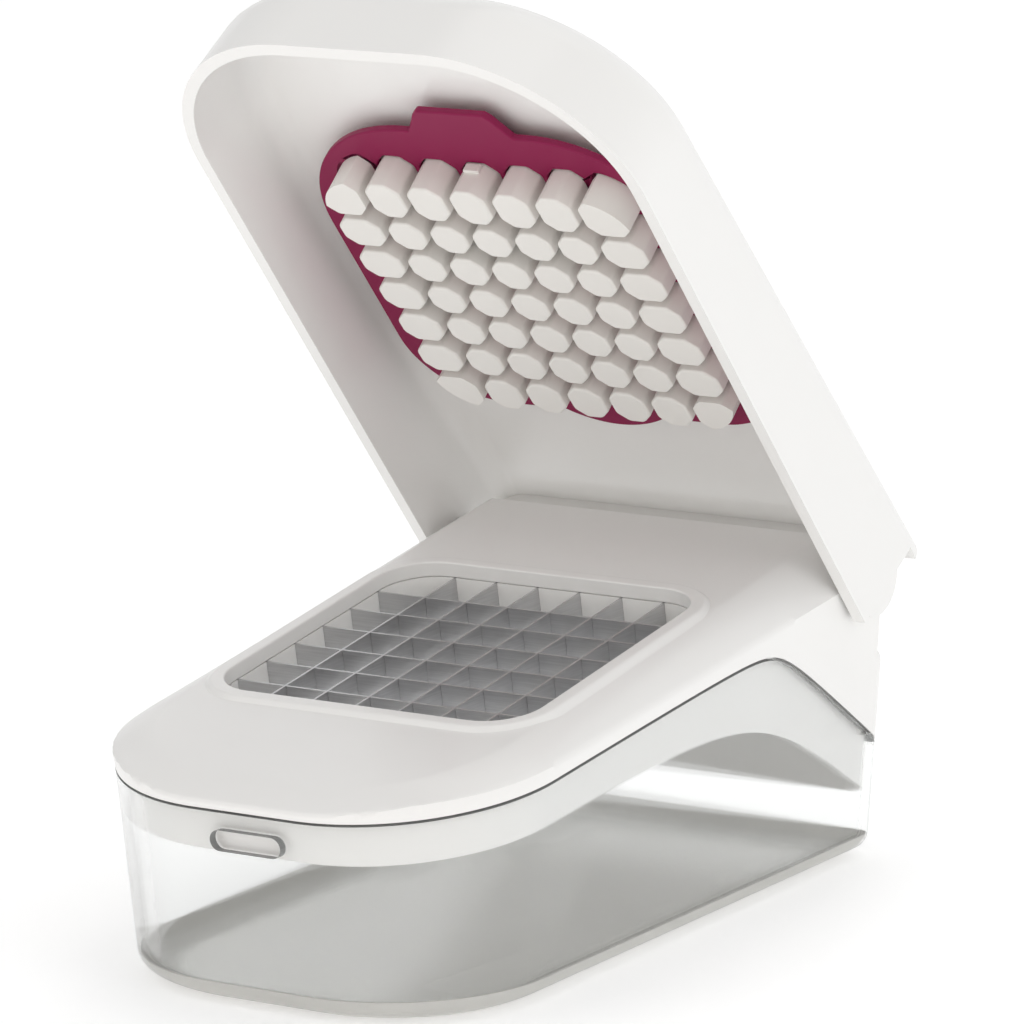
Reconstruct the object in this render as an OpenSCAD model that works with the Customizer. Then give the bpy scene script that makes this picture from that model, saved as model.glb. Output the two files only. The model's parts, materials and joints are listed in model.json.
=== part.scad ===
// Vegetable chopper: a clear catch container, a lift-off frame with a square blade grid,
// and a hinged pusher lid, shown with the lid held open.
// Frame of the part: +X to the right, -Y to the rounded nose, +Y to the hinge, +Z up.
// The origin is the middle of the sole, on the table.

/* [Body] */
// Length of the body from nose to rear wall
body_l = 210; // [204:1:216]
// Width of the body at the draft reference height
body_w = 122; // [118:1:128]
// Radius of the two nose corners in plan
nose_r = 46; // [38:1:50]
// Radius of the two rear corners in plan
rear_r = 10; // [6:1:14]
// Inward draft of each wall from the reference height down to the table
draft = 5.3; // [3.5:0.1:6]
// Height at which the body has its full width
draft_h = 64; // [58:1:72]

/* [Parting line] */
// Height of the container's edge at the nose
part_front_z = 50; // [49:0.5:51]
// Rise of the container's edge per millimetre towards the rear
part_rise = 0.12; // [0.1:0.002:0.14]
// Fall of the container's edge per millimetre behind the crest
part_fall = 0.68; // [0.55:0.01:0.75]
// Place along Y where the rising and falling edges would meet
part_crest_y = 44; // [38:1:50]
// Roundness of the crest
part_blend = 8; // [4:0.5:12]
// Thin dark gap between the container's edge and the frame
part_gap = 0.5; // [0.3:0.1:0.9]

/* [Container] */
// Wall thickness of the clear container
wall = 2.4; // [1.8:0.1:3]
// Floor thickness of the clear container
floor_t = 2.6; // [2:0.1:4]
// Radius between the container's wall and its bottom
heel = 9; // [6:0.5:11]
// Thickness of the non-slip sole under the container
sole_t = 1.6; // [1.2:0.1:3]
// Height of the sole's rim round the container's lower edge
sole_rim = 6; // [4:0.2:6.4]

/* [Deck] */
// Slope of the deck, the blade grid and the closed lid, in degrees
deck_tilt = 9; // [7:0.5:10.5]
// Height of the blade edges above the table at the first cross blade
deck_z = 65; // [64:0.25:66]
// Place along Y of the first cross blade
deck_y = -40; // [-41:0.5:-39]
// Height of the deck's skin above the blade edges
deck_h = 3; // [2:0.25:4]
// Height of the raised lip round the blade opening
lip_h = 1.2; // [0.6:0.1:2]
// Width of the raised lip round the blade opening
lip_w = 3.2; // [2:0.1:4]
// Gap all round between the outer cells and the walls of the opening
opening_gap = 1.6; // [0.8:0.1:2]
// Corner radius of the blade opening
opening_r = 13; // [8:0.5:16]
// Height of the crease between the deck's rolled edge and the frame's side, at the middle
crease_z = 66.8; // [66:0.2:67.6]
// Slope of that crease, in degrees
crease_tilt = 6.7; // [5.5:0.1:8]
// Width of the deck's rolled edge
deck_roll = 11.5; // [9:0.5:12]
// Fall of the deck's nose below the slope of the blades
nose_fall = 4.2; // [2:0.2:5]

/* [Skirt] */
// Play between the frame's skirt and the container
skirt_play = 0.35; // [0.3:0.05:0.6]
// Thickness of the frame's skirt
skirt_t = 2.5; // [2:0.1:3.2]
// Height of the ledge behind the hinge, above the table
ledge_z = 56; // [52:0.5:60]
// Rounding of that ledge's upper edge
ledge_roll = 4; // [2:0.5:5]
// Depth of the skirt's lower edge at the nose
skirt_front = 9.6; // [9.2:0.1:11]
// Depth of the skirt's lower edge at the rear
skirt_rear = 10.6; // [9:0.1:14]
// Roundness of the skirt's lower edge below the crest
skirt_blend = 26; // [8:1:30]
// Thickness of the frame's walls under the crown
shell_t = 3; // [2:0.1:3.6]

/* [Blades] */
// Distance between neighbouring blades, the size of the dice
pitch = 12.7; // [12.2:0.05:12.9]
// Thickness of a blade
blade_t = 0.6; // [0.4:0.05:0.8]
// Height of a blade
blade_h = 8; // [6:0.5:9]
// Length of blade that is held in the carrier at each end
blade_hold = 2.4; // [1.5:0.1:3]
// Play of a blade in its slots
slot_play = 0.05; // [0.04:0.01:0.1]
// Width of the carrier's ring outside the opening
carrier_w = 4.2; // [3.6:0.1:4.6]
// Play between the carrier's ring and the frame
carrier_play = 0.4; // [0.3:0.05:0.6]
// Depth of the carrier's ring below the blade edges
carrier_h = 10; // [9:0.5:12]
// Diameter of the carrier's screws
carrier_screw_d = 2.6; // [2:0.1:3]

/* [Lid] */
// Opening of the lid from closed in the pose shown, in degrees
lid_open = 57.5; // [45:0.5:70]
// Distance of the hinge from the rear wall
hinge_back = 19.5; // [18.5:0.25:20.5]
// Height of the hinge above the table
hinge_z = 78; // [77:0.25:79]
// Radius of the lid's round ends at the hinge
ear_r = 10.6; // [9.6:0.2:12]
// Gap at each side between the lid's wall and the frame
side_gap = 0.6; // [0.5:0.1:1.2]
// Distance that the lid's nose reaches in front of the body
lid_nose = 9.5; // [8:0.5:11]
// Radius of the two nose corners of the lid in plan
lid_nose_r = 46; // [42:1:50]
// Thickness of the lid's side walls and rim
lid_wall = 3.3; // [3.2:0.1:4.2]
// Thickness of the lid's roof
roof_t = 2.6; // [2.2:0.1:3.4]
// Radius of the lid's rolled upper edge
lid_roll = 10; // [7:0.5:12]
// Radius of the inner edge between the lid's walls and its roof
lid_inner_roll = 4; // [3:0.5:5]
// Height of the roof's inner face above the blade edges with the lid closed
roof_h = 14.6; // [14:0.1:16]
// Distance that the lid's roof reaches behind the hinge
roof_overhang = 10.5; // [9.5:0.5:12]
// Depth of the lip turned down at the roof's rear edge
hook_h = 6; // [4:0.5:8]
// Thickness of that lip
hook_t = 3; // [2:0.1:4]
// Distance behind the hinge at which the lid's side walls end
wall_overhang = 6; // [4:0.5:8]
// Height of the closed lid's rim above the table at the middle of the part
rim_z = 56.4; // [55:0.2:58]
// Slope of the lid's rim, in degrees
rim_tilt = 6.5; // [5.5:0.1:7]
// Diameter of the hinge pins
pin_d = 6; // [4:0.1:7]
// Length of a hinge pin inside the frame
pin_in = 9; // [6:0.5:12]
// Length of a hinge pin inside the lid's wall
pin_ear = 2.4; // [2:0.1:2.8]
// Radial running clearance of a hinge pin in the frame
pin_play = 0.05; // [0.03:0.01:0.08]

/* [Pusher] */
// Rows and columns of pegs, one for each cell
cells = 7; // [7:1:7]
// Width of a peg across its flats
peg_w = 10.4; // [10:0.05:11]
// Cut at the corners of a peg
peg_cut = 3; // [1.4:0.1:3.6]
// Depth that a peg dips below the blade edges with the lid closed
peg_dip = 1.6; // [1.2:0.1:2.4]
// Thickness of the plate that carries the pegs
plate_t = 2.2; // [1.6:0.1:2.6]
// Gap between the outer pegs and the sides and front of the opening
peg_gap = 0.55; // [0.5:0.05:1.2]
// Gap between the last row of pegs and the rear of the opening
peg_rear_gap = 1.55; // [1.4:0.05:2]
// Corner radius of the peg field
peg_field_r = 12.5; // [11:0.5:13]
// Width of the nub on the middle front peg
nub_w = 4.6; // [3:0.1:6]
// Diameter of the pusher's screws
pusher_screw_d = 2.6; // [2:0.1:3]

/* [Cleaning grid] */
// Thickness of the cleaning grid
grid_t = 2.2; // [1.6:0.1:3]
// Play of the pegs in the cleaning grid
grid_play = 0.3; // [0.2:0.05:0.5]
// Border of the cleaning grid at each side of the peg field
grid_border = 12; // [9:0.5:13]
// Border of the cleaning grid in front of the peg field
grid_front = 11.6; // [8:0.2:13]
// Border of the cleaning grid behind the peg field
grid_rear = 6.6; // [5:0.2:7]
// Radius of the cleaning grid's front corners
grid_front_r = 38; // [30:1:42]
// Radius of the cleaning grid's rear corners
grid_rear_r = 24; // [18:1:28]
// Slope of the cleaning grid against the blades, in degrees
grid_tilt = 1.7; // [1:0.1:2]
// Gap between the cleaning grid and the opening's lip with the lid closed
grid_gap = 0.55; // [0.5:0.05:1]
// Width of the finger tab's front edge on the cleaning grid
grid_tab_w = 23; // [20:1:28]
// Spread of each side of the finger tab towards its root
grid_tab_flare = 4; // [3:0.5:6]
// Reach of the finger tab in front of the cleaning grid
grid_tab_l = 8; // [6:0.5:9]
// Reach of the round bulge behind the cleaning grid
grid_bulge = 4.4; // [2:0.2:5]

/* [Release tab] */
// Length of the release tab's pill-shaped pad
tab_l = 20; // [16:0.5:24]
// Height of the release tab's pad
tab_h = 4.6; // [4:0.1:5]
// Height of the pad's middle above the table
tab_z = 42.8; // [42.4:0.1:43.2]
// Play round the pad in the skirt and in the container's window
tab_play = 0.35; // [0.3:0.05:0.5]
// Gap between the pad's face and the inside of the container
tab_gap = 0.5; // [0.4:0.05:0.8]
// Thickness of the flange behind the skirt
tab_flange = 1.6; // [1:0.1:2.4]
// Margin of the flange round the pad
tab_margin = 1; // [0.6:0.1:1.4]

/* [Hidden] */
$fn = 64;
eps = 0.01;
far = 400;
// Steps of the deck's rolled edge, as shares of its width and of its rise
roll_steps = [[0, 0], [0.28, 0.42], [0.62, 0.77], [1, 1]];
// Number of steps along the parting line
wave_steps = 44;
// Height of a screw's head, play round a screw and reach of a screw into the pegs
screw_head = 1.4;
screw_play = 0.1;
screw_reach = 5;
// Corner radius of the finger tab and radius of the bulge behind the cleaning grid
tab_corner_r = 3;
bulge_r = 28;
// Material beyond the inner end of a hinge pin
hinge_boss = 3.2;
// Distance of the carrier's screws from the outside of its ring
screw_edge = 6;
// Thickness and height of the nub on the front peg
nub_t = 0.8;
nub_h = 2.6;

half_l = body_l / 2;
half_w = body_w / 2;
hinge_y = half_l - hinge_back;
cad_top = 130;
field = cells * pitch;
opening_w = field + 2 * opening_gap;
// Front edge of the first cells and middle of the blade field, along the deck
field_v0 = -pitch;
field_mid = field_v0 + field / 2;
strip_n = cells - 1;
blade_l = opening_w + 2 * blade_hold;
carrier_outer = opening_w + 2 * carrier_w;
pocket_w = carrier_outer + 2 * carrier_play;
carrier_screw_at = carrier_outer / 2 - screw_edge;
pusher_screw_at = 3 * pitch;
peg_l = roof_h - plate_t + peg_dip;
// Distance of the outer pegs' faces from the middle of the field, at the sides and front and at the rear
peg_side = opening_w / 2 - peg_gap;
peg_rear = opening_w / 2 - peg_rear_gap;
// Underside of the cleaning grid above the blade edges, at the middle of the field
grid_w0 = deck_h + lip_h + grid_gap + tan(grid_tilt) * (field / 2 + grid_rear + grid_bulge);

white = [0.95, 0.95, 0.94];
berry = [0.63, 0.12, 0.34];
steel = [0.72, 0.72, 0.74];
clear = [0.85, 0.9, 0.92, 0.4];

// Inset of the drafted wall at height z
function draft_at(z) = draft * (1 - z / draft_h);

// Height at place y of a rising and a falling line, blended at the crest
function wave_z(y, blend) =
    let (meet = part_front_z + part_rise * (part_crest_y + half_l),
         up = part_front_z + part_rise * (y + half_l),
         down = meet - part_fall * (y - part_crest_y))
    (up + down - sqrt(pow(up - down, 2) + pow(blend, 2))) / 2;

// Height of the container's edge at place y
function part_z(y) = wave_z(y, part_blend);

// Height of the skirt's lower edge at place y
function skirt_z(y) =
    wave_z(y, skirt_blend) - skirt_front - (skirt_rear - skirt_front) * (y + half_l) / body_l;

// Height of the crease along the frame's side at place y
function crease_at(y) = crease_z + tan(crease_tilt) * y;

// Height of the closed lid's rim at place y
function rim_at(y) = rim_z + tan(rim_tilt) * y;

// Height of a plane parallel to the blade edges, w above them, at place y
function deck_at(y, w) = deck_z + w / cos(deck_tilt) + tan(deck_tilt) * (y - deck_y);

// Half width of the frame at the hinge, and of the lid inside and outside
hinge_x = half_w - draft_at(hinge_z);
lid_in_x = hinge_x + side_gap;
lid_x = lid_in_x + lid_wall;
lid_front = -half_l - lid_nose;

// Radius about the hinge to which the deck's rear end is rounded
barrel_r = (deck_at(hinge_y, deck_h) - hinge_z) * cos(deck_tilt);

// Half width at place y of a plan with round corners: half width w, nose at y0, rear at y1
function plan_half(y, w, y0, y1, r0, r1) =
    y < y0 + r0 ? w - r0 + sqrt(max(0, pow(r0, 2) - pow(y0 + r0 - y, 2)))
    : y > y1 - r1 ? w - r1 + sqrt(max(0, pow(r1, 2) - pow(y - y1 + r1, 2)))
    : w;

// Places along Y that follow a round nose corner evenly
function nose_places(y0, r) = [for (a = [0:9:90]) y0 + r * (1 - cos(a))];

// Top of the frame at place y: the sloping deck, then the round end about the hinge
function deck_top(y) =
    let (turn_y = hinge_y - barrel_r * sin(deck_tilt), d = y - hinge_y)
    y < turn_y ? deck_at(y, deck_h) - nose_fall * pow(max(0, nose_r - half_l - y) / nose_r, 2)
    : d < barrel_r ? hinge_z + sqrt(pow(barrel_r, 2) - pow(d, 2)) : hinge_z;

// Outer top of the closed lid at place y: front roll, then the sloping roof
function lid_top(y) =
    let (front = max(0, lid_front + lid_roll - y))
    deck_at(y, roof_h + roof_t) - lid_roll + sqrt(pow(lid_roll, 2) - pow(front, 2));

// Places along Y, a little past both ends of the body
wave_y = [for (i = [0:wave_steps]) -half_l - 5 + (body_l + 10) * i / wave_steps];

// Plan outline of the body with a constant inset; the nose is at -Y
module outline(inset = 0) {
    r = nose_r - inset;
    rr = max(rear_r - inset, 1);
    w = half_w - inset;
    l = half_l - inset;
    for (s = [-1, 1]) {
        translate([s * (w - r), r - l]) circle(r);
        translate([s * (w - rr), l - rr]) circle(rr);
    }
    translate([r - w, -l]) square([2 * (w - r), l]);
    translate([-w, r - l]) square([2 * w, 2 * l - r - rr]);
    translate([rr - w, 0]) square([2 * (w - rr), l]);
}

// Drafted solid of the body between two heights
module drafted(inset, z0, z1) {
    hull() {
        translate([0, 0, z0]) linear_extrude(eps) outline(inset + draft_at(z0));
        translate([0, 0, z1 - eps]) linear_extrude(eps) outline(inset + draft_at(z1));
    }
}

// Solid across the whole width with the given outline in Y and Z
module across(points, width = far) {
    rotate([90, 0, 90]) linear_extrude(width, center = true) polygon(points);
}

// Children drawn in the tilted frame of the blade grid: X, along the deck, normal to it
module on_deck() {
    translate([0, deck_y, deck_z]) rotate([deck_tilt, 0, 0]) children();
}

// Children drawn for the closed lid, turned about the hinge to the pose shown
module lid_pose() {
    translate([0, hinge_y, hinge_z]) rotate([-lid_open, 0, 0])
        translate([0, -hinge_y, -hinge_z]) children();
}

// Thin cross-section of the frame at place y, from the table to the deck
module frame_rib(y) {
    w = plan_half(y, half_w, -half_l, half_l, nose_r, rear_r);
    low = crease_at(min(y, hinge_y - barrel_r));
    side = min(low, deck_top(y) - 1);
    top = deck_top(y);
    rise = top - side;
    edge = w - draft_at(side);
    right = concat([[w - draft_at(0), 0]],
                   [for (step = roll_steps) [edge - deck_roll * step[0], side + rise * step[1]]]);
    left = [for (i = [len(right) - 1:-1:0]) [-right[i][0], right[i][1]]];
    translate([0, y, 0]) rotate([90, 0, 0]) linear_extrude(eps) polygon(concat(right, left));
}

// Solid of the frame from the table up, to be cut at the parting line
module frame_block() {
    places = concat(nose_places(-half_l, nose_r), [0, hinge_y - barrel_r],
                    [for (a = [90 + deck_tilt:-11:0]) hinge_y + barrel_r * cos(a)]);
    hull() for (y = places) frame_rib(y);
}

// Solid of the body up to the ledge behind the hinge, with a rounded upper edge
module ledge_block() {
    hull() for (step = [[0, 0], [ledge_z - ledge_roll, 0], [ledge_z - ledge_roll * 0.3, ledge_roll * 0.3],
                        [ledge_z, ledge_roll]])
        translate([0, 0, step[0]]) linear_extrude(eps) outline(draft_at(step[0]) + step[1]);
}

// Thin cross-section of the closed lid at place y, with its upper edges rolled to radius r
module lid_rib(y, w, top, low, r) {
    translate([0, y, 0]) rotate([90, 0, 0]) linear_extrude(eps) {
        translate([-w, low]) square([2 * w, top - r - low]);
        translate([r - w, low]) square([2 * (w - r), top - low]);
        for (s = [-1, 1]) translate([s * (w - r), top - r]) circle(r, $fn = 32);
    }
}

// Solid of the closed lid; inset shrinks its walls, drop lowers its roof, deep lowers its rim
module lid_block(inset, drop, deep, rear, roll) {
    nose = lid_front + inset;
    r = lid_nose_r - inset;
    hull() for (y = concat(nose_places(nose, r), [rear]))
        lid_rib(y, plan_half(y, lid_x - inset, nose, far, r, 0),
                lid_top(y) - drop, rim_at(y) - deep, roll);
}

// Rectangle with round corners, centred
module round_rect(w, l, r) {
    for (sx = [-1, 1], sy = [-1, 1])
        translate([sx * (w / 2 - r), sy * (l / 2 - r)]) circle(r);
    square([w - 2 * r, l], center = true);
    square([w, l - 2 * r], center = true);
}

// Pill-shaped bar along X with its front at y = 0, reaching to +Y
module pill_bar(l, h, t) {
    rotate([-90, 0, 0]) linear_extrude(t) {
        square([l - h, h], center = true);
        for (s = [-1, 1]) translate([s * (l - h) / 2, 0]) circle(d = h);
    }
}

// Y of the drafted front wall at height z
function front_y(z, inset) = -half_l + draft_at(z) + inset;

// Non-slip sole: a shallow tray that the container stands in
module sole() {
    color([0.9, 0.92, 0.92])
    difference() {
        intersection() {
            tub(0, 0, heel);
            translate([-far / 2, -far / 2, 0]) cube([far, far, sole_rim]);
        }
        tub(0, sole_t, heel);
    }
}

// Drafted solid with a rounded bottom edge of radius r, from height z0 up
module tub(inset, z0, r) {
    hull() {
        for (a = [0:15:90]) translate([0, 0, z0 + r * (1 - sin(a))])
            linear_extrude(eps) outline(draft_at(z0 + r * (1 - sin(a))) + inset + r * (1 - cos(a)));
        translate([0, 0, cad_top]) linear_extrude(eps) outline(draft_at(cad_top) + inset);
    }
}

// Clear catch container with its wavy upper edge and the window for the release tab
module container() {
    edge = [for (y = wave_y) [y, part_z(y)]];
    window_y = front_y(tab_z - tab_h, -wall);
    color(clear)
    difference() {
        intersection() {
            tub(0, sole_t, heel);
            across(concat(edge, [[far, -far], [-far, -far]]));
        }
        tub(wall, sole_t + floor_t, heel - wall);
        translate([0, window_y, tab_z])
            pill_bar(tab_l + 2 * tab_play, tab_h + 2 * tab_play, 4 * wall);
    }
}

// White frame: drafted side band, sloping deck with the blade opening, skirt and hinge end
module deck_frame() {
    low = [for (y = wave_y) [y, part_z(y) + part_gap]];
    skirt_low = [for (y = wave_y) [y, skirt_z(y)]];
    skirt_inset = wall + skirt_play;
    rear_low = ledge_z - shell_t;
    rear_y = hinge_y - barrel_r - shell_t;
    hollow_r = barrel_r - shell_t;
    hollow_l = 2 * (hinge_x - pin_in - hinge_boss);
    color(white)
    difference() {
        union() {
            intersection() {
                union() {
                    frame_block();
                    ledge_block();
                }
                across(concat(low, [[far, far], [-far, far]]));
            }
            intersection() {
                drafted(skirt_inset, 0, crease_z);
                across(concat(skirt_low, [for (i = [wave_steps:-1:0]) low[i] + [0, 1]]));
            }
            on_deck() translate([0, field_mid, 0])
                linear_extrude(deck_h + lip_h)
                    round_rect(opening_w + 2 * lip_w, opening_w + 2 * lip_w, opening_r + lip_w);
        }
        intersection() {
            drafted(skirt_inset + skirt_t, -1, cad_top);
            across([[-far, -far], [far, -far], [far, rear_low], [rear_y, rear_low],
                    [rear_y, crease_at(rear_y) - 2 * shell_t], [-far, crease_at(-far) - 2 * shell_t]]);
        }
        intersection() {
            drafted(deck_roll, -1, cad_top);
            across(concat([[-far, -far]],
                          [for (y = nose_places(-half_l, nose_r)) [y, deck_top(y) - shell_t]],
                          [[rear_y, deck_top(rear_y) - shell_t], [rear_y, -far]]));
        }
        on_deck() translate([0, field_mid, -far / 2]) {
            linear_extrude(far) round_rect(opening_w, opening_w, opening_r);
            linear_extrude(far / 2 + carrier_play) round_rect(pocket_w, pocket_w, opening_r + carrier_play);
        }
        for (s = [-1, 1]) translate([s * hinge_x, hinge_y, hinge_z]) rotate([0, 90, 0])
            cylinder(d = pin_d + 2 * pin_play, h = 2 * (pin_in + side_gap), center = true);
        translate([0, hinge_y, hinge_z]) rotate([0, 90, 0])
            cylinder(r = hollow_r, h = hollow_l, center = true);
        across([[rear_y - 1, rear_low - 1], [hinge_y + hollow_r, rear_low - 1],
                [hinge_y + hollow_r, hinge_z],
                [hinge_y - hollow_r * sin(deck_tilt), hinge_z + hollow_r * cos(deck_tilt)],
                [rear_y - 1, deck_at(rear_y - 1, deck_h - shell_t)]], hollow_l);
        translate([0, front_y(tab_z, -wall), tab_z])
            pill_bar(tab_l + 2 * tab_play, tab_h + 2 * tab_play, 5 * wall);
    }
}

// Slots that the blades leave in what they pass through
module blade_slots(grow) {
    for (i = [0:strip_n - 1]) {
        translate([(i - (strip_n - 1) / 2) * pitch, field_mid, -blade_h / 2])
            cube([blade_t + 2 * grow, blade_l + 2 * grow, blade_h + 2 * grow], center = true);
        translate([0, i * pitch, -blade_h / 2])
            cube([blade_l + 2 * grow, blade_t + 2 * grow, blade_h + 2 * grow], center = true);
    }
}

// Children drawn at the four corners of a square with half side at
module at_corners(at) {
    for (sx = [-1, 1], sy = [-1, 1]) translate([sx * at, sy * at, 0]) children();
}

// Ring under the deck that holds the ends of the blades
module blade_carrier() {
    color(white)
    on_deck() difference() {
        translate([0, field_mid, -carrier_h])
            linear_extrude(carrier_h - eps) difference() {
                round_rect(carrier_outer, carrier_outer, opening_r);
                round_rect(opening_w, opening_w, opening_r);
            }
        blade_slots(slot_play);
        translate([0, field_mid, -carrier_h - 1]) at_corners(carrier_screw_at)
            cylinder(d = carrier_screw_d, h = carrier_h);
    }
}

// Screws that hold the carrier to the frame
module carrier_screws() {
    color(steel)
    on_deck() translate([0, field_mid, -carrier_h - screw_head]) at_corners(carrier_screw_at) {
        cylinder(d = 2 * carrier_screw_d, h = screw_head);
        cylinder(d = carrier_screw_d - screw_play, h = carrier_h - 1);
    }
}

// Lengthwise blade number i, with slots from below for the cross blades
module blade_long(i) {
    color(steel)
    on_deck() difference() {
        translate([(i - (strip_n + 1) / 2) * pitch, field_mid, -blade_h / 2])
            cube([blade_t, blade_l, blade_h], center = true);
        for (k = [0:strip_n - 1])
            translate([(i - (strip_n + 1) / 2) * pitch, k * pitch, -blade_h])
                cube([4 * blade_t, blade_t + 2 * slot_play, blade_h + 2 * slot_play], center = true);
    }
}

// Cross blade number i, with slots from above for the lengthwise blades
module blade_cross(i) {
    color(steel)
    on_deck() difference() {
        translate([0, (i - 1) * pitch, -blade_h / 2])
            cube([blade_l, blade_t, blade_h], center = true);
        for (k = [0:strip_n - 1])
            translate([(k - (strip_n - 1) / 2) * pitch, (i - 1) * pitch, 0])
                cube([blade_t + 2 * slot_play, 4 * blade_t, blade_h + 2 * slot_play], center = true);
    }
}

// Release tab: a pill-shaped pad through the skirt, kept by a flange behind it
module release_tab() {
    face_y = front_y(tab_z - tab_h / 2, wall + tab_gap);
    flange_y = front_y(tab_z - tab_h / 2 - tab_margin, wall + skirt_play + skirt_t + tab_play);
    color(white) {
        translate([0, face_y, tab_z]) pill_bar(tab_l, tab_h, flange_y - face_y + tab_flange);
        translate([0, flange_y, tab_z])
            pill_bar(tab_l + 2 * tab_margin, tab_h + 2 * tab_margin, tab_flange);
    }
}

// White lid: a hollow round-nosed cover, open at the rear, with round ends at the hinge
module lid_shell() {
    rear = hinge_y + roof_overhang;
    wall_y = hinge_y + wall_overhang;
    hook_z = deck_at(rear, roof_h - hook_h);
    color(white)
    lid_pose() difference() {
        union() {
            difference() {
                lid_block(0, 0, 0, rear, lid_roll);
                across([[wall_y, -far], [far, -far], [far, hook_z], [wall_y, hook_z]]);
            }
            for (s = [-1, 1]) translate([s * (lid_x + lid_in_x) / 2, hinge_y, hinge_z])
                rotate([0, 90, 0]) cylinder(r = ear_r, h = lid_wall, center = true);
        }
        difference() {
            lid_block(lid_wall, roof_t, far / 4, rear + roof_overhang, lid_inner_roll);
            across([[rear - hook_t, hook_z], [far, hook_z], [far, far], [rear - hook_t, far]]);
        }
        for (s = [-1, 1]) translate([s * lid_in_x, hinge_y, hinge_z]) rotate([0, 90, 0])
            cylinder(d = pin_d + 2 * pin_play, h = 2 * pin_ear, center = true);
    }
}

// Outline of the peg in column i and row k, with cut corners; outer pegs reach towards the opening's edge
module peg_shape(i, k, grow) {
    x = (i - (cells - 1) / 2) * pitch;
    y = (k - (cells - 1) / 2) * pitch;
    x0 = (i == 0 ? -peg_side : x - peg_w / 2) - grow;
    x1 = (i == cells - 1 ? peg_side : x + peg_w / 2) + grow;
    y0 = (k == 0 ? -peg_side : y - peg_w / 2) - grow;
    y1 = (k == cells - 1 ? peg_rear : y + peg_w / 2) + grow;
    polygon([[x0 + peg_cut, y0], [x1 - peg_cut, y0], [x1, y0 + peg_cut], [x1, y1 - peg_cut],
             [x1 - peg_cut, y1], [x0 + peg_cut, y1], [x0, y1 - peg_cut], [x0, y0 + peg_cut]]);
}

// Outline of the whole peg field
module field_outline(grow) {
    translate([0, (peg_rear - peg_side) / 2])
        round_rect(2 * (peg_side + grow), peg_side + peg_rear + 2 * grow, peg_field_r + grow);
}

// All pegs' outlines, with the corners of the field rounded off
module peg_field(grow) {
    intersection() {
        for (i = [0:cells - 1], k = [0:cells - 1]) peg_shape(i, k, grow);
        field_outline(grow);
    }
}

// Pusher: a plate under the roof with one peg for each cell
module pusher_plate() {
    color([0.92, 0.91, 0.89])
    lid_pose() on_deck() translate([0, field_mid, 0]) {
        difference() {
            union() {
                translate([0, 0, roof_h - plate_t]) linear_extrude(plate_t - eps) field_outline(0);
                translate([0, 0, -peg_dip]) linear_extrude(peg_l) peg_field(0);
            }
            translate([0, 0, roof_h - plate_t - screw_reach]) at_corners(pusher_screw_at)
                cylinder(d = pusher_screw_d, h = plate_t + screw_reach + 1);
        }
        translate([-nub_w / 2, -peg_side - nub_t, grid_w0 + tan(grid_tilt) * peg_side - grid_play - nub_h])
            cube([nub_w, 2 * nub_t, nub_h]);
    }
}

// Screws that hold the pusher to the lid's roof
module pusher_screws() {
    color(steel)
    lid_pose() on_deck() translate([0, field_mid, roof_h - plate_t - screw_reach + screw_play])
        at_corners(pusher_screw_at)
            cylinder(d = pusher_screw_d - screw_play, h = plate_t + screw_reach - 3 * screw_play);
}

// Outline of the cleaning grid's finger tab, with flared sides
module finger_tab(front) {
    half = grid_tab_w / 2;
    root = half + grid_tab_flare;
    polygon([[-root, front + 1], [-root, front], [-half - tab_corner_r / 2, front - grid_tab_l / 2],
             [-half, front - grid_tab_l + tab_corner_r / 2], [tab_corner_r / 2 - half, front - grid_tab_l],
             [half - tab_corner_r / 2, front - grid_tab_l], [half, front - grid_tab_l + tab_corner_r / 2],
             [half + tab_corner_r / 2, front - grid_tab_l / 2], [root, front], [root, front + 1]]);
}

// Removable cleaning grid round the pegs, with a finger tab at the front and a bulge at the rear
module cleaning_grid() {
    width = field + 2 * grid_border;
    front = -field / 2 - grid_front;
    rear = field / 2 + grid_rear;
    rear_l = rear - front - grid_front_r;
    color(berry)
    lid_pose() on_deck() translate([0, field_mid, 0]) difference() {
        translate([0, 0, grid_w0]) rotate([-grid_tilt, 0, 0]) linear_extrude(grid_t) {
            translate([0, (front + rear) / 2]) round_rect(width, rear - front, grid_front_r);
            translate([0, rear - rear_l / 2]) round_rect(width, rear_l, grid_rear_r);
            translate([0, rear + grid_bulge - bulge_r]) circle(bulge_r);
            finger_tab(front);
        }
        linear_extrude(roof_h) peg_field(grid_play);
    }
}

// Hinge pin fixed in the lid's wall and turning in the frame; side is -1 for left, 1 for right
module hinge_pin(side) {
    pin_l = pin_in + side_gap + pin_ear - 2 * screw_play;
    color(steel)
    lid_pose() translate([side * (lid_in_x + pin_ear - screw_play - pin_l / 2), hinge_y, hinge_z])
        rotate([0, 90, 0]) cylinder(d = pin_d, h = pin_l, center = true);
}

sole();
container();
deck_frame();
blade_carrier();
carrier_screws();
release_tab();
for (i = [1:strip_n]) {
    blade_long(i);
    blade_cross(i);
}
lid_shell();
pusher_plate();
pusher_screws();
cleaning_grid();
hinge_pin(-1);  // hinge_pin_left
hinge_pin(1);  // hinge_pin_right
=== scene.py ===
import json
import math

import bmesh
import bpy
from bpy.props import FloatProperty, FloatVectorProperty, IntProperty, PointerProperty
from mathutils import Matrix, Vector


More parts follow.
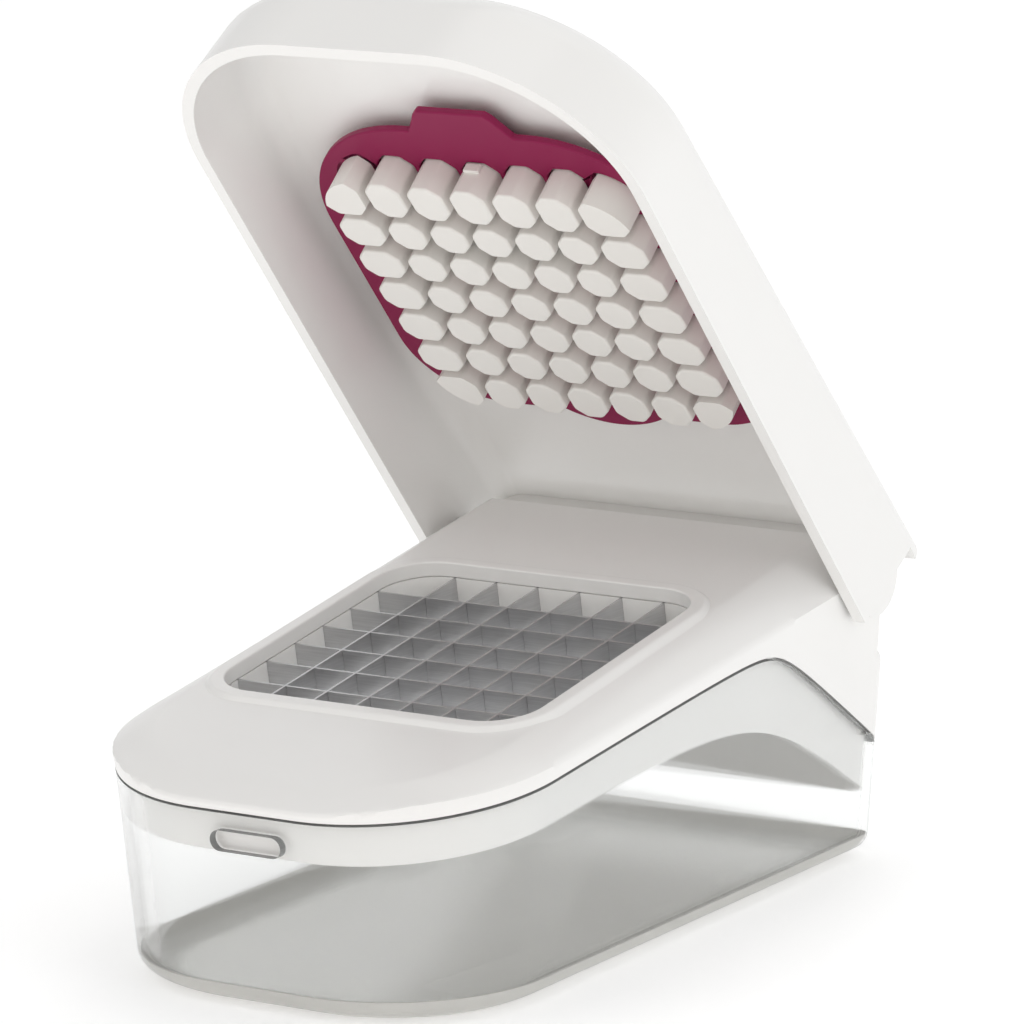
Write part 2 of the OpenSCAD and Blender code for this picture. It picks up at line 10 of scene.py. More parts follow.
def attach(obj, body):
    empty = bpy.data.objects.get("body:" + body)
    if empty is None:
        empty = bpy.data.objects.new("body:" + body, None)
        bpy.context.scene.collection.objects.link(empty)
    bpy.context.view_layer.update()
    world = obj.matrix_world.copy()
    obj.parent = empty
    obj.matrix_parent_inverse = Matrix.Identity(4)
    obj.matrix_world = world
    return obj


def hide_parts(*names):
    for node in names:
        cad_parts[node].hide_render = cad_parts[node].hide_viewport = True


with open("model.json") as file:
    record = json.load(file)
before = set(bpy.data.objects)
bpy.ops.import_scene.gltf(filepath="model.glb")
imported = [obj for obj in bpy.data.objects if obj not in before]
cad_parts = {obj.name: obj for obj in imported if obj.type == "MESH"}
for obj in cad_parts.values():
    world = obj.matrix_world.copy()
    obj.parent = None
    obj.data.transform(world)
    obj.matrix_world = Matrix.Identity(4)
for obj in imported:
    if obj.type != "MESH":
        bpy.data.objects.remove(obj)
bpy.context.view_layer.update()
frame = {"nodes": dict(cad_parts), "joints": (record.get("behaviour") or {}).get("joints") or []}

bl_info = {
    "name": "Vegetable chopper",
    "version": (1, 0, 0),
    "blender": (4, 5, 0),
    "location": "View3D > Sidebar > Chopper",
    "description": "Dresses the vegetable chopper in moulded plastic, clear plastic and steel",
    "category": "Object",
}

LID_JOINT = next(j for j in frame["joints"] if j["name"] == "lid_hinge")
HINGE = Vector(LID_JOINT["pos_m"])
LID_OPEN = -LID_JOINT["range_deg"][0]

# Distances in metres: places nearer than NEAR are the same, faces stay PLAY apart so that they share no
# plane, and TALL is above all the walls of the body.
NEAR = 1e-6
PLAY = 0.00002
TALL = 0.1
# Bends above SHARP, in radians, are edges. A face whose normal has more than FACING along an axis faces
# that way.
SHARP = 0.6
FACING = 0.5
# Faces that meet at less than SMOOTH_ANGLE look smooth. Large faces pull the normals by FACE_WEIGHT.
SMOOTH_ANGLE = math.radians(48)
FACE_WEIGHT = 60
# Faces of round corners, in the plan and in the section.
NOSE_STEPS = 22
LID_NOSE_STEPS = 26
DECK_NOSE_STEPS = 30
REAR_STEPS = 8
CORNER_STEPS = 10
FINE_CORNER_STEPS = 14
EAR_STEPS = 64
LID_ROLL_STEPS = 9
LEDGE_ROLL_STEPS = 6
HEEL_STEPS = 8
EDGE_STEPS = 4
# Cuts of the deck: shares of its rolled edge, slices along Y and slices round the hinge end in degrees. Then
# the rings of the lip's ramp.
DECK_RINGS = (0.14, 0.2, 0.3, 0.42, 0.56, 0.72, 0.88, 1)
DECK_SLICE = 0.004
DECK_SLICES = 45
HINGE_ANGLES = range(15, 100, 12)
LIP_RINGS = 6
# Raw block of the lid: its foot and its height, before the roof and the rim are cut.
LID_FOOT = 0.03
LID_RISE = 0.12
# Block above a wavy line: its plan, its height and its steps along Y.
WAVE_PLAN = (0.2, 0.26)
WAVE_RISE = 0.25
WAVE_STEPS = 110
# Half lengths of the cutters for the blade opening and the window. A window quite round at its ends would
# leave edges of no length, so its radius is a little less than half its height.
HOLE_REACH = 0.06
WINDOW_REACH = 0.02
WINDOW_ROUND = 0.999
# Stage: corners of the floor, height of the backdrop, hollow between them, glow of the floor and of the sky.
FLOOR_LOW = (-4, -4)
FLOOR_HIGH = (4, 3)
BACKDROP = 4
COVE = 1.2
COVE_STEPS = 16
FLOOR_GLOW = 0.31
SKY_GLOW = 0.57
# Lights: name, place, size, power and tint. All of them face LIGHT_AIM.
LIGHT_AIM = (0, 0, 0.1)
LIGHTS = (("key", (-1.0, -1.0, 1.6), 1.2, 3.5, (1, 1, 1)),
          ("side", (1.7, -0.5, 0.8), 1.0, 4.2, (1, 1, 1)),
          ("top", (0.1, 0.5, 2.0), 1.6, 5.5, (1, 1, 1)),
          ("front", (0.5, -1.9, 0.35), 1.0, 4.4, (1, 0.88, 0.77)))
# Camera fitted to the photo: its axes and place, the focal length and the photo's width in pixels, the
# sensor in millimetres and the far limit.
CAMERA_RIGHT = (0.836861, 0.546916, -0.023387)
CAMERA_UP = (-0.094192, 0.185951, 0.978034)
CAMERA_PLACE = (0.895185, -1.33865, 0.445456)
FOCAL_PIXELS = 6568
PHOTO_PIXELS = 1024
SENSOR = 36
FAR = 50


def length(name, description, default):
    """A length in metres that a user may change."""
    return FloatProperty(name=name, description=description, default=default, unit="LENGTH", precision=5)


def angle(name, description, degrees):
    """An angle, given in degrees and kept in radians."""
    return FloatProperty(name=name, description=description, default=math.radians(degrees), unit="ROTATION")


def colour(name, description, default):
    """A linear colour."""
    return FloatVectorProperty(name=name, description=description, default=default, subtype="COLOR",
                               size=3, min=0, max=1)


class BodySizes(bpy.types.PropertyGroup):
    """Plan, draft and parting line that the frame and the container share."""

    half_w: length("Half width", "Half width at the draft height", 0.061)
    half_l: length("Half length", "Half length at the draft height", 0.105)
    nose_r: length("Nose radius", "Radius of the two nose corners", 0.046)
    rear_r: length("Rear radius", "Radius of the two rear corners", 0.010)
    draft: length("Draft", "Inward draft of the walls at the table", 0.0053)
    draft_h: length("Draft height", "Height of the full width", 0.064)
    part_front: length("Edge at the nose", "Height of the container's edge at the nose", 0.050)
    part_rise: FloatProperty(name="Edge rise", description="Rise of the edge towards the rear", default=0.12)
    part_fall: FloatProperty(name="Edge fall", description="Fall of the edge behind its crest", default=0.68)
    part_crest: length("Crest", "Place of the edge's crest along Y", 0.044)
    part_blend: length("Crest roundness", "Roundness of the crest", 0.008)
    part_gap: length("Parting gap", "Dark gap between the frame and the container", 0.0008)


class DeckSizes(bpy.types.PropertyGroup):
    """Sloping deck of the frame with its blade opening."""

    tilt: angle("Slope", "Slope of the deck and the blades", 9)
    height: length("Blade height", "Height of the blade edges at the first cross blade", 0.065)
    place: length("First blade", "Place of the first cross blade along Y", -0.040)
    skin: length("Deck height", "Height of the deck above the blade edges", 0.003)
    roll: length("Deck roll", "Width of the deck's rolled edge", 0.0115)
    crown: FloatProperty(name="Crown", description="Fullness of the deck's rolled edge", default=1.55)
    crease: length("Crease", "Height of the crease under the rolled edge, at the middle", 0.0668)
    crease_tilt: angle("Crease slope", "Slope of that crease", 6.7)
    crease_drop: length("Crease depth", "Least depth of the crease below the deck", 0.001)
    crisp_y: length("Crisp crease", "Place along Y behind which the crease is crisp", 0.05)
    edge_r: length("Edge radius", "Rounding of the crease in front of that place", 0.0013)
    band: length("Lower band", "Height of the band along the side's lower edge that looks flat", 0.0015)
    nose_fall: length("Nose fall", "Fall of the deck's nose below the slope of the blades", 0.0042)
    barrel: length("Hinge end", "Radius of the frame's round end at the hinge", 0.0098)
    ledge: length("Ledge", "Height of the ledge behind the hinge", 0.056)
    ledge_roll: length("Ledge roll", "Radius of the ledge's upper edge", 0.004)
    wall: length("Wall", "Thickness of the frame's walls", 0.0024)
    pitch: length("Pitch", "Distance between the blades", 0.0127)
    cells: IntProperty(name="Cells", description="Cells along each side of the opening", default=7)
    opening: length("Opening", "Width of the blade opening", 0.0921)
    opening_r: length("Opening radius", "Corner radius of the blade opening", 0.013)
    lip_w: length("Lip width", "Width of the raised lip round the opening", 0.0032)
    lip_h: length("Lip height", "Height of the lip above the deck", 0.0012)
    lip_foot: length("Lip foot", "Height of the lip's lower edge above the blade edges", 0.0001)
    lip_flare: length("Lip flare", "Width of the ramp outside the lip", 0.0028)
    lip_sink: length("Lip sink", "Depth of the ramp's foot below the deck", 0.0006)
    skirt_inset: length("Skirt inset", "Distance of the skirt from the body's side", 0.00275)
    skirt_front: length("Skirt at the nose", "Depth of the skirt's lower edge at the nose", 0.0096)
    skirt_rear: length("Skirt at the rear", "Depth of the skirt's lower edge at the rear", 0.0106)
    skirt_blend: length("Skirt roundness", "Roundness of the skirt's lower edge below the crest", 0.026)
    skirt_top: length("Skirt top", "Height of the skirt's upper edge above the container's edge", 0.002)


class TubSizes(bpy.types.PropertyGroup):
    """Clear container with the window for the release tab."""

    wall: length("Wall", "Thickness of the clear wall", 0.0024)
    bottom: length("Bottom", "Height of the container's bottom above the table", 0.0016)
    heel: length("Heel", "Radius between the wall and the bottom", 0.009)
    window_l: length("Window length", "Length of the pill-shaped window", 0.0207)
    window_h: length("Window height", "Height of the pill-shaped window", 0.0053)
    window_z: length("Window place", "Height of the window's middle", 0.0428)
    # The dark bands along the wavy edge and round the window are painted shade for the parting gap and the
    # window's outline.
    dark_top: length("Dark edge", "Height of the dark band along the wavy edge", 0.0007)
    dark_window: length("Dark window edge", "Width of the dark band round the window", 0.0006)


class LidSizes(bpy.types.PropertyGroup):
    """Hollow lid, given in its closed pose."""

    half_w: length("Half width", "Half width outside", 0.06606)
    front: length("Front", "Place of the nose along Y", -0.1145)
    rear: length("Rear", "Place of the roof's rear edge along Y", 0.096)
    nose_r: length("Nose radius", "Radius of the two nose corners", 0.046)
    roof: length("Roof", "Height of the roof's outside above the blade edges", 0.0172)
    roof_in: length("Roof inside", "Height of the roof's inside above the blade edges", 0.0146)
    hook: length("Hook", "Depth of the lip turned down at the roof's rear edge", 0.006)
    wall_rear: length("Wall end", "Place along Y where the side walls end", 0.0915)
    ear: length("Ear", "Radius of the round ends at the hinge", 0.0106)
    roll: length("Roll", "Radius of the rolled upper edge", 0.010)
    wall: length("Wall", "Thickness of the lid's wall and rim", 0.0033)
    rim_z: length("Rim height", "Height of the rim at the middle", 0.0564)
    rim_tilt: angle("Rim slope", "Slope of the rim", 6.5)


class PegSizes(bpy.types.PropertyGroup):
    """Pusher with its pegs, from the middle of the peg field."""

    width: length("Width", "Width of a peg across its flats", 0.0104)
    cut: length("Corner cut", "Cut at the corners of a peg", 0.003)
    dip: length("Dip", "Depth of the pegs below the blade edges", 0.0016)
    root: length("Root", "Height of the pegs' roots above the blade edges", 0.0136)
    side: length("Side and front", "Distance of the outer pegs' faces at the sides and the front", 0.0455)
    rear: length("Rear", "Distance of the outer pegs' faces at the rear", 0.0445)
    soft: length("Softness", "Rounding of a peg's tip", 0.0007)
    field_r: length("Field radius", "Corner radius of the peg field", 0.0125)
    nub_w: length("Nub width", "Width of the nub on the middle front peg", 0.0046)
    nub_t: length("Nub thickness", "Thickness of the nub", 0.0008)
    nub_root: length("Nub root", "Depth of the nub's root inside the peg", 0.002)
    nub_low: length("Nub foot", "Height of the nub's lower end above the blade edges", 0.00485)
    nub_h: length("Nub height", "Height of the nub", 0.0026)


class EdgeSizes(bpy.types.PropertyGroup):
    """Rounding of the pieces' edges."""

    lid: length("Lid", "Rounding of the lid's edges", 0.0006)
    nub: length("Nub", "Rounding of the nub's edges", 0.0003)
    small: length("Grid and tab", "Rounding of the cleaning grid's and the release tab's edges", 0.0005)
    deck: length("Deck", "Rounding of the deck's sharp edges", 0.0004)
    ledge: length("Ledge", "Rounding of the ledge's edges", 0.0003)
    skirt: length("Skirt", "Rounding of the skirt's edges", 0.0003)
    lip: length("Lip", "Rounding of the lip's edges", 0.00072)
    tub: length("Container", "Rounding of the container's edges", 0.0005)
    sole: length("Sole", "Rounding of the sole's edges", 0.0004)


class Colours(bpy.types.PropertyGroup):
    """Colours of the finishes."""

    white: colour("White", "White moulding", (0.91, 0.905, 0.89))
    warm: colour("Warm white", "Pusher", (0.86, 0.84, 0.805))
    berry: colour("Raspberry", "Cleaning grid", (0.255, 0.009, 0.068))
    steel: colour("Steel", "Blades, pins and screws", (0.62, 0.62, 0.63))
    clear: colour("Clear", "Container", (0.96, 0.975, 0.97))
    cloudy: colour("Cloudy", "Sole", (0.82, 0.81, 0.78))
    floor: colour("Floor", "Floor and backdrop", (0.93, 0.93, 0.93))


class Value:
    """A number socket of a shader, for use in Python expressions."""

    def __init__(self, finish, socket):
        self.finish = finish
        self.socket = socket

    def _math(self, operation, first, second):
        node = self.finish.node("ShaderNodeMath", {"operation": operation}, {0: first, 1: second})
        return Value(self.finish, node.outputs[0])

    def __add__(self, other):
        return self._math("ADD", self, other)

    def __radd__(self, other):
        return self._math("ADD", other, self)

    def __mul__(self, other):
        return self._math("MULTIPLY", self, other)

    def __rmul__(self, other):
        return self._math("MULTIPLY", other, self)


class Finish:
    """A procedural material on Object coordinates."""

    def __init__(self, name):
        self.material = bpy.data.materials.new(name)
        self.material.use_nodes = True
        self.tree = self.material.node_tree
        self.shader = self.tree.nodes["Principled BSDF"]
        self.place = self.node("ShaderNodeTexCoord", {}, {}).outputs["Object"]

    def node(self, kind, settings, inputs):
        """Adds a node; settings are set first, then values or links of its sockets."""
        made = self.tree.nodes.new(kind)
        for key, value in settings.items():
            setattr(made, key, value)
        for key, value in inputs.items():
            self.feed(made.inputs[key], value)
        return made

    def feed(self, socket, value):
        """Sets or links one socket."""
        if isinstance(value, Value):
            value = value.socket
        if isinstance(value, bpy.types.NodeSocket):
            self.tree.links.new(value, socket)
        else:
            socket.default_value = value

    def noise(self, scale, detail=2.0, roughness=0.5, squeeze=(1, 1, 1)):
        """Noise from 0 to 1 over the surface, squeezed along the axes."""
        place = self.place
        if squeeze != (1, 1, 1):
            place = self.node("ShaderNodeMapping", {}, {"Vector": place, "Scale": squeeze}).outputs[0]
        made = self.node("ShaderNodeTexNoise", {}, {"Vector": place, "Scale": scale, "Detail": detail,
                                                     "Roughness": roughness})
        return Value(self, made.outputs["Fac"])

    def mix(self, share, first, second):
        """Colour between first and second."""
        made = self.node("ShaderNodeMix", {"data_type": "RGBA"}, {0: share, 6: (*first, 1), 7: (*second, 1)})
        return made.outputs[2]

    def bump(self, height, distance):
        """Links a bump to the shader's normal; distance is its full height in metres."""
        made = self.node("ShaderNodeBump", {}, {"Height": height, "Distance": distance, "Strength": 1.0})
        self.feed(self.shader.inputs["Normal"], made.outputs[0])

    def surface(self, **values):
        """Sets or links sockets of the shader; underscores stand for spaces."""
        for key, value in values.items():
            self.feed(self.shader.inputs[key.replace("_", " ")], value)


def shade(base, factor):
    """A colour made lighter or darker."""
    return tuple(min(1, c * factor) for c in base)


def moulded(name, base, rough, coat, ior=1.49):
    """Glossy moulded plastic with a faint cloud in its colour and a fine ripple."""
    finish = Finish(name)
    cloud = finish.noise(scale=24, detail=3)
    ripple = finish.noise(scale=260)
    finish.surface(Base_Color=finish.mix(cloud, shade(base, 0.985), shade(base, 1.015)),
                   Roughness=rough + 0.06 * cloud + 0.03 * ripple, IOR=ior,
                   Coat_Weight=coat, Coat_Roughness=0.12)
    finish.bump(ripple, distance=0.000003)
    return finish.material


def steel_strip(name, base, squeeze):
    """Ground stainless steel with fine scratches along the axis that is squeezed least."""
    finish = Finish(name)
    scratch = finish.noise(scale=260, detail=3, roughness=0.6, squeeze=squeeze)
    cloud = finish.noise(scale=60)
    finish.surface(Base_Color=finish.mix(scratch, shade(base, 0.8), shade(base, 1.2)), Metallic=1.0,
                   Roughness=0.28 + 0.14 * scratch + 0.06 * cloud)
    finish.bump(scratch, distance=0.00002)
    return finish.material


def clear_plastic(name, base):
    """Clear moulded plastic that hardly bends the light, with painted shade that makes its colour greyer
    where it is seen at a low angle.
    """
    finish = Finish(name)
    frost = finish.noise(scale=40, detail=3)
    rim = Value(finish, finish.node("ShaderNodeLayerWeight", {}, {"Blend": 0.35}).outputs["Facing"])
    # Painted shade: the colour turns grey where the wall is seen at a low angle; the frost adds a faint
    # random tone.
    frost_and_edge_shade = 0.06 * frost + 0.9 * rim * rim * rim
    finish.surface(Base_Color=finish.mix(frost_and_edge_shade, shade(base, 1.01), shade(base, 0.5)),
                   Roughness=0.12 + 0.03 * frost, Transmission_Weight=1.0, IOR=1.08,
                   Coat_Weight=0.5, Coat_Roughness=0.12, Alpha=0.30 + 0.45 * rim)
    return finish.material


def painted_gap_shade(name, base):
    """Dark finish for the cut edge of the clear plastic, which looks dark because it passes no light
    straight through: painted shade that stands for the shadow in the parting gap and round the window.
    """
    finish = Finish(name)
    frost = finish.noise(scale=60)
    # Painted shade: a dark grey tone for the parting gap's shadow and the window's outline, with a faint
    # random frost.
    finish.surface(Base_Color=finish.mix(frost, shade(base, 0.28), shade(base, 0.34)),
                   Roughness=0.12 + 0.05 * frost, IOR=1.45)
    return finish.material


def cloudy_sole(name, base):
    """Soft, cloudy moulding that lets some light through."""
    finish = Finish(name)
    cloud = finish.noise(scale=55, detail=4)
    grain = finish.noise(scale=900, detail=1)
    finish.surface(Base_Color=finish.mix(cloud, shade(base, 0.94), shade(base, 1.05)),
                   Roughness=0.42 + 0.15 * cloud, Transmission_Weight=0.35, IOR=1.41)
    finish.bump(grain, distance=0.00002)
    return finish.material


def paint(obj, material):
    """Gives an object one material."""
    obj.data.materials.clear()
    obj.data.materials.append(material)


def clear_selection():
    """Leaves edit mode and deselects everything."""
    if bpy.context.object and bpy.context.object.mode != "OBJECT":
        bpy.ops.object.mode_set(mode="OBJECT")
    bpy.ops.object.select_all(action="DESELECT")


def take(obj):
    """Makes obj the only selected and the active object."""
    clear_selection()
    obj.select_set(True)
    bpy.context.view_layer.objects.active = obj


class Bench:
    """Edit mode on one object, with selection by place or normal."""

    def __init__(self, obj):
        self.obj = obj

    def __enter__(self):
        take(self.obj)
        bpy.ops.object.mode_set(mode="EDIT")
        return self

    def __exit__(self, *_):
        bpy.ops.object.mode_set(mode="OBJECT")

    def pick(self, kind, test):
        """Selects the VERT, EDGE or FACE elements that pass the test, and says how many."""
        bpy.ops.mesh.select_mode(type=kind)
        bpy.ops.mesh.select_all(action="DESELECT")
        mesh = bmesh.from_edit_mesh(self.obj.data)
        mesh.normal_update()
        found = [e for e in {"VERT": mesh.verts, "EDGE": mesh.edges, "FACE": mesh.faces}[kind] if test(e)]
        for element in found:
            element.select_set(True)
        mesh.select_flush_mode()
        bmesh.update_edit_mesh(self.obj.data)
        return len(found)

    def all(self):
        """Selects everything."""
        bpy.ops.mesh.select_mode(type="FACE")
        bpy.ops.mesh.select_all(action="SELECT")

    def lift(self, rise):
        """Extrudes what is selected along Z."""
        bpy.ops.mesh.extrude_region_move(TRANSFORM_OT_translate={"value": (0, 0, rise)})

    def score(self, point, normal):
        """Cuts with a plane and keeps both sides of it."""
        self.all()
        bpy.ops.mesh.bisect(plane_co=point, plane_no=normal)

    def slice(self, point, normal, fill=True, keep_below=True):
        """Cuts with a plane and keeps one side of it."""
        self.all()
        bpy.ops.mesh.bisect(plane_co=point, plane_no=normal, use_fill=fill, clear_outer=keep_below,
                            clear_inner=not keep_below)

    def round(self, kind, test, offset, segments):
        """Bevels the picked edges, or the picked vertices, if there are any."""
        if self.pick(kind, test):
            affect = "VERTICES" if kind == "VERT" else "EDGES"
            bpy.ops.mesh.bevel(offset=offset, segments=segments, affect=affect, clamp_overlap=True)

    def merge(self):
        """Merges vertices at the same place and leaves everything selected."""
        self.all()
        bpy.ops.mesh.remove_doubles(threshold=NEAR)
        bpy.ops.mesh.select_all(action="SELECT")

    def strip(self, test):
        """Takes away the faces that pass the test."""
        self.pick("FACE", test)
        bpy.ops.mesh.delete(type="FACE")

    def outwards(self):
        """Merges vertices at the same place and points all faces outwards."""
        self.merge()
        bpy.ops.mesh.normals_make_consistent(inside=False)


def bend_of(edge):
    """Angle between an edge's two faces, or 0 where it has not two."""
    return edge.calc_face_angle(0) if len(edge.link_faces) == 2 else 0


def middle(edge):
    """Middle of an edge."""
    return (edge.verts[0].co + edge.verts[1].co) / 2


def rename(name):
    """Names the object just added and returns it."""
    obj = bpy.context.object
    obj.name = name
    obj.data.name = name
    return obj


def settle():
    """Applies the selected objects' transforms, which puts them at the origin."""
    bpy.ops.object.transform_apply(location=True, rotation=True, scale=True)


def plate(name, low, high, z):
    """Flat plate between two corners, at height z."""
    clear_selection()
    bpy.ops.mesh.primitive_plane_add(size=2, location=((low[0] + high[0]) / 2, (low[1] + high[1]) / 2, z))
    obj = rename(name)
    obj.scale = ((high[0] - low[0]) / 2, (high[1] - low[1]) / 2, 1)
    settle()
    return obj


def place(obj, matrix):
    """Moves a finished piece by a matrix and keeps the object at the origin."""
    take(obj)
    obj.matrix_world = matrix @ obj.matrix_world
    settle()


def modify(obj, kind, **settings):
    """Adds a modifier and applies it."""
    take(obj)
    modifier = obj.modifiers.new(kind.lower(), kind)
    for key, value in settings.items():
        setattr(modifier, key, value)
    bpy.ops.object.modifier_apply(modifier=modifier.name)


def carve(obj, cutter, operation):
    """Boolean with a cutter that is then thrown away."""
    modify(obj, "BOOLEAN", object=cutter, operation=operation, solver="EXACT")
    bpy.data.objects.remove(cutter)


def hollow(obj, wall):
    """Gives an open skin a wall on its inner side."""
    modify(obj, "SOLIDIFY", thickness=wall, offset=-1, use_even_offset=True, use_rim=True)


def smooth(obj, flat=None):
    """Smooths all but the sharp edges; flat picks the places where large faces look flat, or else all do."""
    take(obj)
    bpy.ops.object.shade_smooth_by_angle(angle=SMOOTH_ANGLE)
    group = obj.vertex_groups.new(name="flat")
    group.add([v.index for v in obj.data.vertices if flat is None or flat(v.co)], 1.0, "REPLACE")
    modify(obj, "WEIGHTED_NORMAL", keep_sharp=True, weight=FACE_WEIGHT, vertex_group=group.name)
    obj.vertex_groups.clear()


def soften(obj, width, segments=2, limit=40, flat=None):
    """Bevels the edges that bend by more than limit, in degrees, and smooths the rest."""
    modify(obj, "BEVEL", width=width, segments=segments, limit_method="ANGLE",
           angle_limit=math.radians(limit), harden_normals=False, miter_outer="MITER_ARC")
    smooth(obj, flat)


def twin(obj):
    """Copy of an object with a mesh of its own."""
    copy = obj.copy()
    copy.data = obj.data.copy()
    bpy.context.collection.objects.link(copy)
    return copy


def rounded_copy(node, name, width):
    """Copy of a CAD node with rounded edges."""
    clear_selection()
    obj = twin(frame["nodes"][node])
    obj.parent = None
    obj.name = name
    obj.data.name = name
    with Bench(obj) as bench:
        bench.merge()
        bpy.ops.mesh.dissolve_limited(angle_limit=math.radians(1))
    soften(obj, width, segments=3, limit=30)
    return obj


def hand_over(obj, body, slot, material, *nodes):
    """Fastens a finished piece to its body and lets it stand for CAD nodes."""
    paint(obj, material)
    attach(obj, body)
    if nodes:
        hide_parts(*nodes)


def lid_pose():
    """From the closed lid to the pose shown."""
    return (Matrix.Translation(HINGE) @ Matrix.Rotation(math.radians(-LID_OPEN), 4, "X")
            @ Matrix.Translation(-HINGE))


def deck_pose(deck):
    """From the blade grid's own frame to the part's frame."""
    return Matrix.Translation((0, deck.place, deck.height)) @ Matrix.Rotation(deck.tilt, 4, "X")


def deck_normal(deck):
    """Normal of the sloping deck."""
    return Vector((0, -math.sin(deck.tilt), math.cos(deck.tilt)))


def deck_point(deck, w):
    """Point of a plane parallel to the blade edges, w above them."""
    return Vector((0, deck.place, deck.height)) + w * deck_normal(deck)


def inset_at(body, z):
    """Inset of the drafted wall at height z."""
    return body.draft * (1 - z / body.draft_h)


def wave_z(body, y, blend):
    """Height at place y of a rising and a falling line, blended at the crest."""
    meet = body.part_front + body.part_rise * (body.part_crest + body.half_l)
    up = body.part_front + body.part_rise * (y + body.half_l)
    down = meet - body.part_fall * (y - body.part_crest)
    return (up + down - math.hypot(up - down, blend)) / 2


def part_z(body, y):
    """Height of the container's edge at place y."""
    return wave_z(body, y, body.part_blend)


def skirt_z(body, deck, y):
    """Height of the skirt's lower edge at place y."""
    share = (y + body.half_l) / (2 * body.half_l)
    depth = deck.skirt_front + (deck.skirt_rear - deck.skirt_front) * share
    return wave_z(body, y, deck.skirt_blend) - depth


def deck_top(body, deck, y):
    """Height of the deck's middle at place y: the slope, its falling nose and the round end at the hinge."""
    if y > HINGE.y - deck.barrel * math.sin(deck.tilt):
        return HINGE.z + math.sqrt(max(0, deck.barrel ** 2 - (y - HINGE.y) ** 2))
    point = deck_point(deck, deck.skin)
    fall = max(0, body.nose_r - body.half_l - y) / body.nose_r
    return point.z + (y - point.y) * math.tan(deck.tilt) - deck.nose_fall * fall ** 2


def edge_depth(body, x, y):
    """Distance of a place inside the body's plan from its sides and nose."""
    side, nose = abs(x) - body.half_w + body.nose_r, body.nose_r - body.half_l - y
    if side > 0 and nose > 0:
        return body.nose_r - math.hypot(side, nose)
    return min(body.half_w - abs(x), y + body.half_l)


def round_depth(half, radius, x, y):
    """Distance of a place inside a square with round corners from its outline."""
    across, along = abs(x) - half + radius, abs(y) - half + radius
    if across > 0 and along > 0:
        return radius - math.hypot(across, along)
    return half - max(abs(x), abs(y))


def drafted(name, body, inset, z0, z1):
    """Closed solid with the body's plan and draft between two heights."""
    top = inset + inset_at(body, z1)
    w, l = body.half_w - top, body.half_l - top
    obj = plate(name, (-w, -l), (w, l), z1)
    with Bench(obj) as bench:
        bench.round("VERT", lambda v: v.co.y < 0, body.nose_r - top, NOSE_STEPS)
        bench.round("VERT", lambda v: v.co.y > l - NEAR and abs(v.co.x) > w - NEAR, body.rear_r - top,
                    REAR_STEPS)
        bench.all()
        bpy.ops.mesh.inset(thickness=inset_at(body, z0) - inset_at(body, z1), depth=z0 - z1)
        bench.pick("EDGE", lambda e: e.is_boundary)
        bpy.ops.mesh.edge_face_add()
        bench.outwards()
    return obj


def thicken(obj, rise):
    """Extrudes an open surface along Z to a closed solid."""
    with Bench(obj) as bench:
        bench.all()
        bench.lift(rise)
        bench.outwards()


def above_wave(name, height):
    """Solid above a wavy line along Y; height is its height at place y."""
    clear_selection()
    bpy.ops.mesh.primitive_grid_add(x_subdivisions=2, y_subdivisions=WAVE_STEPS, size=1)
    obj = rename(name)
    obj.scale = (*WAVE_PLAN, 1)
    settle()
    for vertex in obj.data.vertices:
        vertex.co.z = height(vertex.co.y)
    thicken(obj, WAVE_RISE)
    return obj


def round_plate(name, size_x, size_y, radius, z, steps):
    """Flat plate with round corners, centred."""
    obj = plate(name, (-size_x / 2, -size_y / 2), (size_x / 2, size_y / 2), z)
    with Bench(obj) as bench:
        bench.round("VERT", lambda v: True, radius, steps)
    return obj


def field_shift(deck):
    """From the middle of the blade field to the blade grid's own frame."""
    return Matrix.Translation((0, (deck.cells / 2 - 1) * deck.pitch, 0))


def white_finish():
    """White moulding shared by the frame, the lid and the tab."""
    material = bpy.data.materials.get("white_moulding")
    white = bpy.context.scene.chopper_colours.white
    return material or moulded("white_moulding", white, rough=0.30, coat=0.25)


